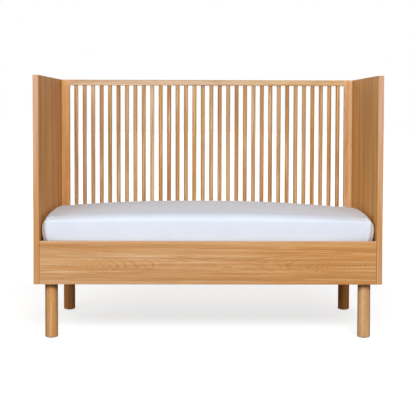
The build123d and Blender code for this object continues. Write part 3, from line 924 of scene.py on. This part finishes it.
def makeSheet():
    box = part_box("fitted_sheet")
    rings, marks, middle, half, crown = padSurface(sheetShape, box, False)

    def heightAt(x, y):
        return crown(x, y) + topCreases(x, y)

    flat = marks["upperEnd"] + 4
    fadeRows = (1 - smoothStep(np.arange(flat), 2, flat))[:, None]
    x, y = rings[:flat, :, 0] - middle[0], rings[:flat, :, 1] - middle[1]
    rings[:flat, :, 2] += topCreases(x, y) * fadeRows
    rings = foldSheet(rings, marks, half)
    grid = coreGrid(rings, 0, sheetShape, middle, heightAt)
    rows, around = rings.shape[:2]
    points = np.concatenate([rings.reshape(-1, 3), grid])
    index = np.arange(rows * around).reshape(rows, around)
    ringFaces = quads(np.concatenate([index, index[:, :1]], 1))[:, ::-1]
    topFaces = quads(coreIndex(sheetShape, 0, rows * around))
    sheet = newPiece("sheet_cloth", points, np.concatenate([ringFaces, topFaces]))
    # the cloth laid flat: plan places on top, then outwards by the way down the side
    down = np.linalg.norm(np.diff(rings, axis=0), axis=2)
    way = np.concatenate([np.zeros((1, around)), np.cumsum(down, 0)])
    flow = rings[marks["lowerStart"], :, :2] - rings[0, :, :2]
    flow = flow / np.linalg.norm(flow, axis=1, keepdims=True)
    ringUv = rings[0, :, :2][None] + flow[None] * way[..., None]
    setUv(sheet, "cloth", np.concatenate([ringUv.reshape(-1, 2), grid[:, :2]]))
    wall = sheet.modifiers.new("thickness", "SOLIDIFY")
    wall.thickness = sheetShape["cloth"]
    wall.offset = -1
    return sheet


def makePad():
    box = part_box("mattress_core")
    rings, marks, middle, half, crown = padSurface(padShape, box, True)
    rows, around = rings.shape[:2]
    under = rings[-1, 0, 2]
    top = coreGrid(rings, 0, padShape, middle, crown)
    bottom = coreGrid(rings, rows - 1, padShape, middle, lambda x, y: np.full_like(x, under))
    points = np.concatenate([rings.reshape(-1, 3), top, bottom])
    index = np.arange(rows * around).reshape(rows, around)
    ringFaces = quads(np.concatenate([index, index[:, :1]], 1))[:, ::-1]
    topFaces = quads(coreIndex(padShape, 0, rows * around))
    bottomIndex = coreIndex(padShape, (rows - 1) * around, rows * around + len(top))
    faces = np.concatenate([ringFaces, topFaces, quads(bottomIndex)[:, ::-1]])
    return newPiece("mattress_pad", points, faces)


swelling = {
    "voxel": 0.012,
    "pressure": 0.25,
    "frames": 20,
    "most": 0.0030,  # no point moves further
}


def swellPad(pad):
    # remeshed evenly, then swollen by air pressure: place = start + move, with |move| held to the
    # most allowed
    scene = bpy.context.scene
    remesh = pad.modifiers.new("even", "REMESH")
    remesh.mode = "VOXEL"
    remesh.voxel_size = swelling["voxel"]
    even = bpy.data.meshes.new_from_object(pad.evaluated_get(bpy.context.evaluated_depsgraph_get()))
    pad.modifiers.remove(remesh)
    pad.data = even
    even.polygons.foreach_set("use_smooth", np.ones(len(even.polygons), bool))
    cloth = pad.modifiers.new("cloth", "CLOTH")
    cloth.settings.use_pressure = True
    cloth.settings.uniform_pressure_force = swelling["pressure"]
    cloth.settings.effector_weights.gravity = 0
    for number in range(1, swelling["frames"] + 1):
        scene.frame_set(number)
    swollen = pad.evaluated_get(bpy.context.evaluated_depsgraph_get()).to_mesh()
    start = np.zeros(3 * len(even.vertices), np.float32)
    place = np.zeros_like(start)
    even.vertices.foreach_get("co", start)
    swollen.vertices.foreach_get("co", place)
    move = (place - start).reshape(-1, 3)
    size = np.linalg.norm(move, axis=1, keepdims=True)
    move = move * np.minimum(1, swelling["most"] / size.clip(1e-9))
    pad.modifiers.remove(cloth)
    scene.frame_set(1)
    even.vertices.foreach_set("co", (start.reshape(-1, 3) + move).ravel())
    even.update()
    smooth = pad.modifiers.new("smooth", "SUBSURF")
    smooth.levels = 1
    smooth.render_levels = 1
    return float(size.max())


cotton = {
    "cool": (0.750, 0.812, 0.922, 1),
    "pale": (0.780, 0.842, 0.952, 1),
    "thread": 0.00045,
    "rumple": 0.0012,
}


def sheetMaterial():
    material, tree, shader = newMaterial(
        "cottonSheet", Roughness=0.86, Sheen_Weight=0.12, Sheen_Roughness=0.5
    )
    flat = addNode(tree, "UVMap", uv_map="cloth").outputs[0]
    weave = useGroup(tree, "clothWeave", {"Vector": flat, "Thread": cotton["thread"], "Slubs": 0.5})
    soft = noise(tree, scaleVector(tree, flat, (9, 9, 1)), 3.0)
    colour = mixColour(tree, remap(tree, soft, 0.3, 0.7), cotton["cool"], cotton["pale"])
    # the weave's painted shade, multiplied into the colour
    shade = addNode(tree, "CombineColor", dict.fromkeys(range(3), weave["PaintedShade"])).outputs[0]
    feed(tree, shader["Base Color"], mixColour(tree, 1.0, colour, shade, "MULTIPLY"))
    rumple = noise(tree, scaleVector(tree, flat, (22, 22, 1)), 4.0)
    height = calculate(tree, "MULTIPLY_ADD", weave["Height"], 0.05, rumple)
    feed(tree, shader["Normal"], bump(tree, height, cotton["rumple"], 0.5))
    return material


ticking = {
    "ground": (0.78, 0.77, 0.74, 1),
    "stripe": (0.42, 0.47, 0.55, 1),
    "pitch": 0.018,
    "thread": 0.0009,
}


def tickingMaterial():
    material, tree, shader = newMaterial("mattressTicking", Roughness=0.8, Sheen_Weight=0.1)
    place = objectPlace(tree)
    weave = useGroup(tree, "clothWeave", {"Vector": place, "Thread": ticking["thread"], "Slubs": 0.6})
    across = addNode(tree, "SeparateXYZ", {0: place}).outputs[0]
    turn = calculate(tree, "MULTIPLY", across, 2 * math.pi / ticking["pitch"])
    striped = remap(tree, calculate(tree, "SINE", turn), 0.80, 0.95)
    colour = mixColour(tree, striped, ticking["ground"], ticking["stripe"])
    # the weave's painted shade, multiplied into the colour
    shade = addNode(tree, "CombineColor", dict.fromkeys(range(3), weave["PaintedShade"])).outputs[0]
    feed(tree, shader["Base Color"], mixColour(tree, 1.0, colour, shade, "MULTIPLY"))
    feed(tree, shader["Normal"], bump(tree, weave["Height"], 0.0004, 0.6))
    return material


bpy.context.scene.view_settings.view_transform = "Standard"
makeCamera()
makeWorld()
makeFloor()
for lampName, values in lamps.items():
    makeLamp(lampName, *values)
print("studio: camera, floor and", len(lamps), "lamps")

makeOakGrain()
makeEasedEdge()
makeClothWeave()
makeHandling()
finishPanels()
finishFrontRail()
finishBackFrame()
finishSpindles()
finishLegs()
finishBeech()
finishFittings()
print("finishes:", len(bpy.data.materials), "materials")

pad = makePad()
print("mattress swelled by up to", round(1000 * swellPad(pad), 1), "mm before it was held")
pad.data.materials.append(tickingMaterial())
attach(pad, "mattress")
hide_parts("mattress_core")
print("mattress:", len(pad.data.polygons), "faces")

sheet = makeSheet()
sheet.data.materials.append(sheetMaterial())
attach(sheet, "mattress")
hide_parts("fitted_sheet")
print("sheet:", len(sheet.data.polygons), "faces")
